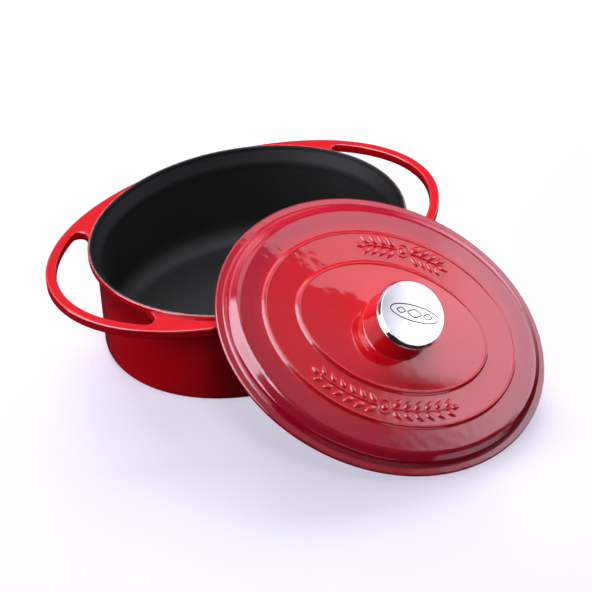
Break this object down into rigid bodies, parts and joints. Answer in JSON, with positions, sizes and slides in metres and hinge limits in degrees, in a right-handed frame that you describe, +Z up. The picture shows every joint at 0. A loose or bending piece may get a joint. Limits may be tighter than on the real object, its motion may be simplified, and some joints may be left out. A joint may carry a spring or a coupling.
{
  "type": "covered casserole dish",
  "caption": "Oval enamelled cast-iron casserole pot with loop handles round its rim and a stepped oval lid with a round metal knob, the lid leaning against the pot.",
  "frame": {"origin": "centre of the pot's flat bottom", "axes": "+X along the pot's long axis towards the right-hand handle, +Y away from the leaning lid, +Z up"},
  "size_m": [0.3704, 0.3758, 0.1506],
  "materials": {
    "enamel_pot": "gloss",
    "enamel_lid": "gloss",
    "chrome_knob": "polished",
    "seat_fibre": "matte",
    "zinc_steel": "satin"
  },
  "bodies": {
    "pot": {"pot": "enamel_pot"},
    "lid": {"lid": "enamel_lid", "knob": "chrome_knob", "seat_ring": "seat_fibre", "flat_washer": "zinc_steel", "lock_washer": "zinc_steel", "knob_screw": "zinc_steel"}
  },
  "joints": [
    {"name": "lid_lift", "type": "slide", "parent": "pot", "child": "lid", "axis": [0, 0, 1], "range_m": [0, 0.2]}
  ]
}
